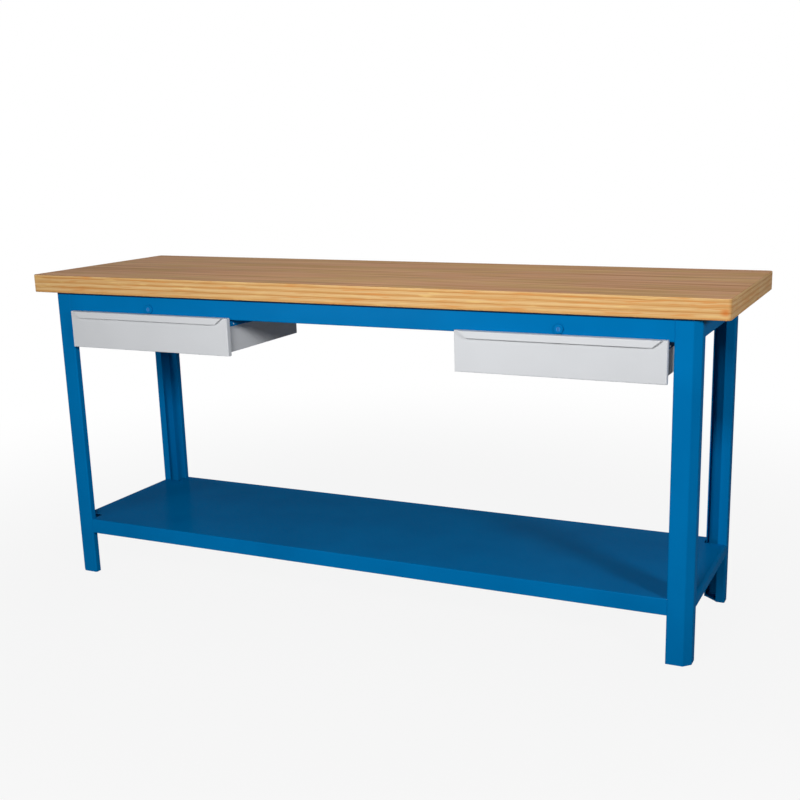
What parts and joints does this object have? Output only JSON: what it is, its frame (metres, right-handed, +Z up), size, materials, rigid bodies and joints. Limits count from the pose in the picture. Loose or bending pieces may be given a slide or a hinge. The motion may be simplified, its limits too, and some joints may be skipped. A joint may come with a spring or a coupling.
{
  "type": "workbench",
  "caption": "Workbench with a multiplex top, folded sheet steel frame, low shelf and lockable drawers hung under the front rail",
  "frame": {"origin": "On the floor, under the middle of the overall length and depth, the drawers' pull lips included", "axes": "+X runs along the length to the user's right when facing the drawers, +Y runs to the back, +Z is up; the drawers open towards -Y"},
  "size_m": [2, 0.618, 0.9],
  "materials": {
    "blue_paint": "semi-gloss powder coat, gentian blue",
    "grey_paint": "semi-gloss powder coat, light grey",
    "multiplex": "oiled beech multiplex with visible layers at the edges",
    "zinc": "zinc-plated steel, dull",
    "lock_chrome": "dull plated lock face",
    "nylon": "natural nylon"
  },
  "bodies": {
    "frame": {"worktop": "multiplex", "front_rail": "blue_paint", "rear_rail": "blue_paint", "right_end_rail": "blue_paint", "left_end_rail": "blue_paint", "bottom_shelf": "blue_paint", "shelf_stiffener": "blue_paint", "worktop_screws": "zinc", "hanger_screws": "zinc", "front_right_leg": "blue_paint", "front_right_foot_plate": "blue_paint", "front_left_leg": "blue_paint", "front_left_foot_plate": "blue_paint", "rear_right_leg": "blue_paint", "rear_right_foot_plate": "blue_paint", "rear_left_leg": "blue_paint", "rear_left_foot_plate": "blue_paint", "left_outer_channel": "blue_paint", "left_inner_channel": "blue_paint", "left_outer_channel_hangers": "blue_paint", "left_inner_channel_hangers": "blue_paint", "left_lock_body": "blue_paint", "left_lock_nut": "zinc", "left_front_roller_pins": "zinc", "right_outer_channel": "blue_paint", "right_inner_channel": "blue_paint", "right_outer_channel_hangers": "blue_paint", "right_inner_channel_hangers": "blue_paint", "right_lock_body": "blue_paint", "right_lock_nut": "zinc", "right_front_roller_pins": "zinc"},
    "left_drawer": {"left_drawer_front": "grey_paint", "left_drawer_inner_plate": "grey_paint", "left_drawer_box": "grey_paint", "left_lock_catch": "zinc", "left_outer_slide_rail": "zinc", "left_inner_slide_rail": "zinc", "left_rear_roller_pins": "zinc"},
    "left_lock_core": {"left_lock_plug": "lock_chrome", "left_lock_cam": "zinc", "left_lock_cam_screw": "zinc"},
    "left_outer_front_roller": {"left_outer_front_roller": "nylon"},
    "left_outer_rear_roller": {"left_outer_rear_roller": "nylon"},
    "left_inner_front_roller": {"left_inner_front_roller": "nylon"},
    "left_inner_rear_roller": {"left_inner_rear_roller": "nylon"},
    "right_drawer": {"right_drawer_front": "grey_paint", "right_drawer_inner_plate": "grey_paint", "right_drawer_box": "grey_paint", "right_lock_catch": "zinc", "right_outer_slide_rail": "zinc", "right_inner_slide_rail": "zinc", "right_rear_roller_pins": "zinc"},
    "right_lock_core": {"right_lock_plug": "lock_chrome", "right_lock_cam": "zinc", "right_lock_cam_screw": "zinc"},
    "right_outer_front_roller": {"right_outer_front_roller": "nylon"},
    "right_outer_rear_roller": {"right_outer_rear_roller": "nylon"},
    "right_inner_front_roller": {"right_inner_front_roller": "nylon"},
    "right_inner_rear_roller": {"right_inner_rear_roller": "nylon"}
  },
  "joints": [
    {"name": "left_drawer_slide", "type": "slide", "parent": "frame", "child": "left_drawer", "axis": [0, -1, 0], "range_m": [0, 0.28]},
    {"name": "left_lock_turn", "type": "hinge", "parent": "frame", "child": "left_lock_core", "pos_m": [-0.597, -0.285, 0.814], "axis": [0, 1, 0], "range_deg": [0, 90]},
    {"name": "left_outer_front_roller_spin", "type": "hinge", "parent": "frame", "child": "left_outer_front_roller", "pos_m": [-0.853, -0.265, 0.7828], "axis": [1, 0, 0], "range_deg": [0, 3214]},
    {"name": "left_outer_rear_roller_spin", "type": "hinge", "parent": "left_drawer", "child": "left_outer_rear_roller", "pos_m": [-0.853, 0.0705, 0.7828], "axis": [1, 0, 0], "range_deg": [0, 3214]},
    {"name": "left_inner_front_roller_spin", "type": "hinge", "parent": "frame", "child": "left_inner_front_roller", "pos_m": [-0.341, -0.265, 0.7828], "axis": [1, 0, 0], "range_deg": [0, 3214]},
    {"name": "left_inner_rear_roller_spin", "type": "hinge", "parent": "left_drawer", "child": "left_inner_rear_roller", "pos_m": [-0.341, 0.0705, 0.7828], "axis": [1, 0, 0], "range_deg": [0, 3214]},
    {"name": "right_drawer_slide", "type": "slide", "parent": "frame", "child": "right_drawer", "axis": [0, -1, 0], "range_m": [0, 0.28]},
    {"name": "right_lock_turn", "type": "hinge", "parent": "frame", "child": "right_lock_core", "pos_m": [0.597, -0.285, 0.814], "axis": [0, 1, 0], "range_deg": [0, 90]},
    {"name": "right_outer_front_roller_spin", "type": "hinge", "parent": "frame", "child": "right_outer_front_roller", "pos_m": [0.853, -0.265, 0.7828], "axis": [1, 0, 0], "range_deg": [0, 3214]},
    {"name": "right_outer_rear_roller_spin", "type": "hinge", "parent": "right_drawer", "child": "right_outer_rear_roller", "pos_m": [0.853, 0.0705, 0.7828], "axis": [1, 0, 0], "range_deg": [0, 3214]},
    {"name": "right_inner_front_roller_spin", "type": "hinge", "parent": "frame", "child": "right_inner_front_roller", "pos_m": [0.341, -0.265, 0.7828], "axis": [1, 0, 0], "range_deg": [0, 3214]},
    {"name": "right_inner_rear_roller_spin", "type": "hinge", "parent": "right_drawer", "child": "right_inner_rear_roller", "pos_m": [0.341, 0.0705, 0.7828], "axis": [1, 0, 0], "range_deg": [0, 3214]}
  ],
  "couplings": [
    {"joint": "left_outer_front_roller_spin", "follows": "left_drawer_slide", "rad_per_m": 200},
    {"joint": "left_outer_rear_roller_spin", "follows": "left_drawer_slide", "rad_per_m": 200},
    {"joint": "left_inner_front_roller_spin", "follows": "left_drawer_slide", "rad_per_m": 200},
    {"joint": "left_inner_rear_roller_spin", "follows": "left_drawer_slide", "rad_per_m": 200},
    {"joint": "right_outer_front_roller_spin", "follows": "right_drawer_slide", "rad_per_m": 200},
    {"joint": "right_outer_rear_roller_spin", "follows": "right_drawer_slide", "rad_per_m": 200},
    {"joint": "right_inner_front_roller_spin", "follows": "right_drawer_slide", "rad_per_m": 200},
    {"joint": "right_inner_rear_roller_spin", "follows": "right_drawer_slide", "rad_per_m": 200}
  ]
}
